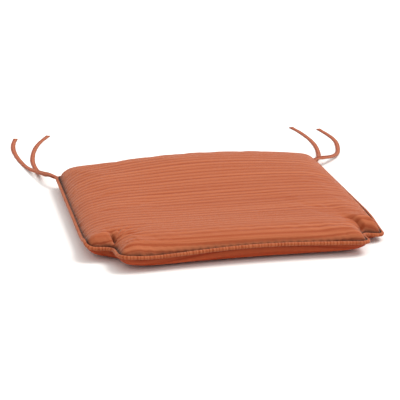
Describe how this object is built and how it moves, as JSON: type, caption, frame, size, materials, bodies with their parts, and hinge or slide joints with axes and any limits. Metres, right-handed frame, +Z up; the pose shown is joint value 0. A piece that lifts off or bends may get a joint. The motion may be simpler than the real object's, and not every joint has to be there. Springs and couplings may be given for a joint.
{
  "type": "chair seat pad",
  "caption": "Padded outdoor chair seat pad in terracotta fabric with a piped seam, notched front corners, rear corner ties and a zip along the rear edge.",
  "frame": {"origin": "centre of the underside, ties left out", "axes": "+Z up, -Y towards the front edge with the notches, X across the width"},
  "size_m": [0.6171, 0.7989, 0.066],
  "materials": {
    "cover_fabric": "woven slub stripe, matte",
    "piping_fabric": "woven slub stripe, matte",
    "tie_fabric": "woven, matte",
    "wadding": "loose polyester fibre",
    "foam": "open cell, matte",
    "filler_cord": "twisted cotton cord",
    "zip_tape": "woven tape, matte",
    "zip_coil": "satin",
    "zip_metal": "painted, satin"
  },
  "bodies": {
    "pad": {"cover_top": "cover_fabric", "cover_bottom": "cover_fabric", "batting_top": "wadding", "batting_bottom": "wadding", "foam_core": "foam", "welt_wrap": "piping_fabric", "welt_filler": "filler_cord", "welt_join": "piping_fabric", "zip_tape_upper": "zip_tape", "zip_tape_lower": "zip_tape", "zip_coil_upper": "zip_coil", "zip_coil_lower": "zip_coil", "zip_stop_open": "zip_metal", "zip_stop_closed": "zip_metal", "tie_anchor_left": "tie_fabric", "tie_anchor_right": "tie_fabric", "tie_left_outer": "tie_fabric", "tie_left_inner": "tie_fabric", "tie_right_outer": "tie_fabric", "tie_right_inner": "tie_fabric"},
    "slider": {"zip_slider": "zip_metal"},
    "pull": {"zip_pull": "zip_metal"}
  },
  "joints": [
    {"name": "zip_slide", "type": "slide", "parent": "pad", "child": "slider", "axis": [1, 0, 0], "range_m": [-0.324, 0]},
    {"name": "pull_swing", "type": "hinge", "parent": "slider", "child": "pull", "pos_m": [0.162, 0.22512, 0.00935], "axis": [0, -0.3272, -0.9449], "range_deg": [0, 170]}
  ]
}
